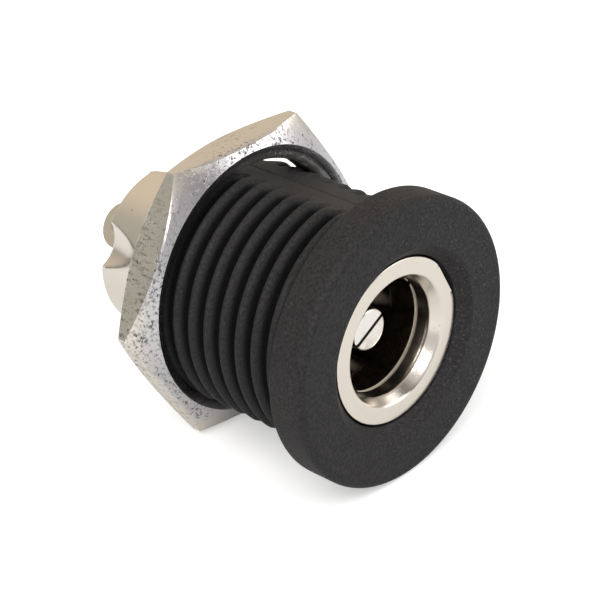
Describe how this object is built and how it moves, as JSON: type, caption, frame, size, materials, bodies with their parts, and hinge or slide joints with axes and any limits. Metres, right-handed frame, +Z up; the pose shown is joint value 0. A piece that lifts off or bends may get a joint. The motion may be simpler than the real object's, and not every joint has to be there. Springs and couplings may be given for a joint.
{
  "type": "dc barrel jack",
  "caption": "Panel mount power socket: round flange, threaded black body, hex nut, metal barrel with a split centre pin, and solder lugs at the rear.",
  "frame": {"origin": "on the jack's axis, in the plane of the flange's rear face, where it seats on a panel", "axes": "+Y along the axis from the socket to the solder lugs, +Z up with two flats of the nut level, +X to the right seen from the front"},
  "size_m": [0.0162, 0.0183, 0.0143],
  "materials": {
    "housing_plastic": "matte, fine grain",
    "nut_nickel": "nickel plated, slightly rough",
    "barrel_nickel": "nickel plated, smooth",
    "liner_plastic": "dark moulded",
    "contact_metal": "tinned sheet",
    "pin_nickel": "nickel plated, bright",
    "disc_laminate": "paper laminate"
  },
  "bodies": {
    "jack": {"housing": "housing_plastic", "barrel": "barrel_nickel", "insulating_liner": "liner_plastic", "contact_sleeve": "contact_metal", "centre_pin": "pin_nickel", "rear_disc": "disc_laminate", "pin_lug": "contact_metal"},
    "nut": {"hex_nut": "nut_nickel"}
  },
  "joints": [
    {"name": "nut_travel", "type": "slide", "parent": "jack", "child": "nut", "axis": [0, -1, 0], "range_m": [0, 0.006]}
  ]
}
